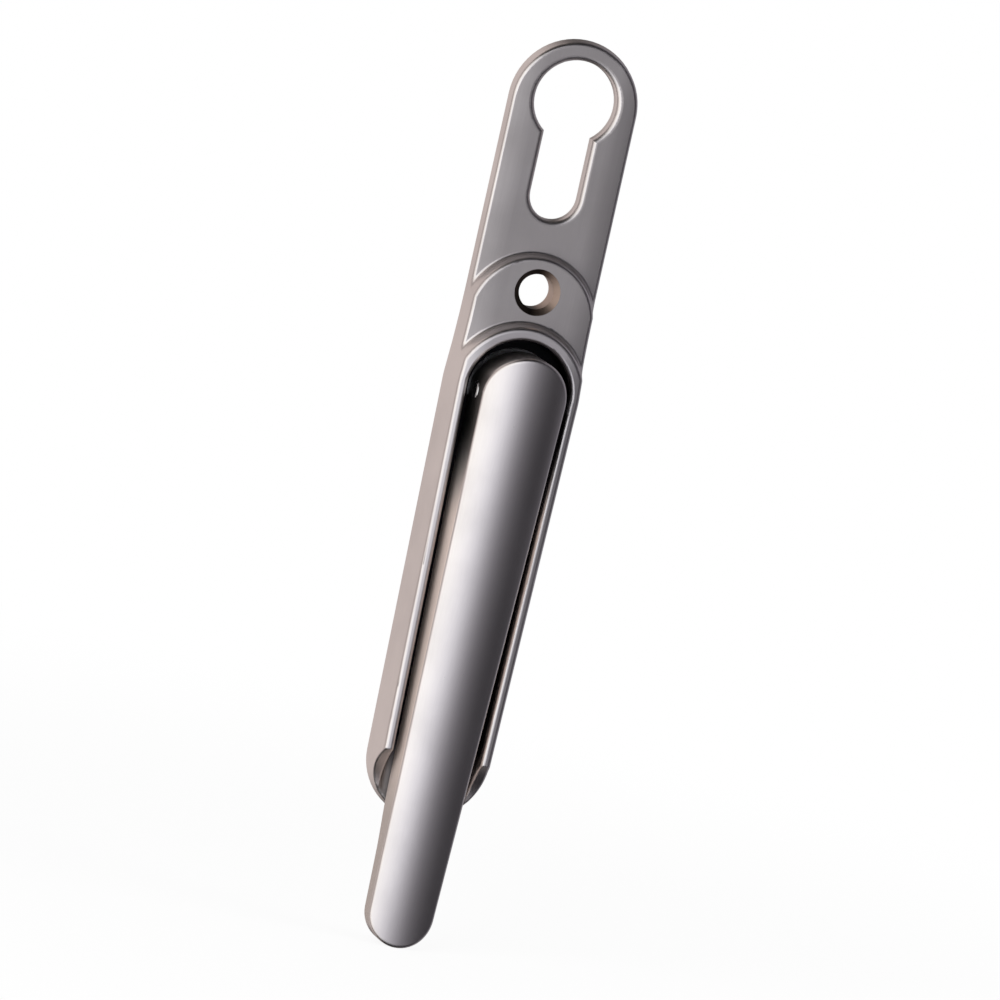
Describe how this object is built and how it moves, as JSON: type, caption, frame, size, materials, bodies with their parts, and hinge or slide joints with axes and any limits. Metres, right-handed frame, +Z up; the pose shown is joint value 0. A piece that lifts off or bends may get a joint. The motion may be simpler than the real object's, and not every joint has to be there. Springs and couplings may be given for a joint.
{
  "type": "bifold door lever handle",
  "caption": "Slim door handle: a stepped backplate with a cylinder cut-out and a lever that folds flat into a rimmed recess, hinged on a hub that turns a square spindle.",
  "frame": {"origin": "spindle axis where it meets the door face", "axes": "+Z up the door, +X to the viewer's right, +Y into the door, so the front of the handle faces -Y"},
  "size_m": [0.0288, 0.0523, 0.1928],
  "materials": {
    "satin_casting": "satin nickel plate on a zinc casting",
    "turned_steel": "fine turned",
    "spindle_steel": "bright zinc plated",
    "spring_steel": "dark phosphated",
    "acetal": "natural, slightly waxy",
    "buffer_rubber": "matt"
  },
  "bodies": {
    "plate": {"backplate": "satin_casting", "hub_bush": "acetal", "rest_buffer": "buffer_rubber"},
    "swivel": {"hub": "turned_steel", "spindle": "spindle_steel", "spindle_pin": "turned_steel", "wave_washer": "spring_steel", "retaining_ring": "spring_steel"},
    "lever": {"lever": "satin_casting", "hinge_pin": "turned_steel", "left_hinge_washer": "spring_steel", "right_hinge_washer": "spring_steel"}
  },
  "joints": [
    {"name": "spindle_turn", "type": "hinge", "parent": "plate", "child": "swivel", "pos_m": [0, 0, 0], "axis": [0, -1, 0], "range_deg": [-90, 90]},
    {"name": "lever_fold", "type": "hinge", "parent": "swivel", "child": "lever", "pos_m": [0, -0.0085, 0], "axis": [-1, 0, 0], "range_deg": [0, 30]}
  ],
  "couplings": [
    {"joint": "spindle_turn", "follows": "lever_fold", "ratio": 0.25}
  ]
}
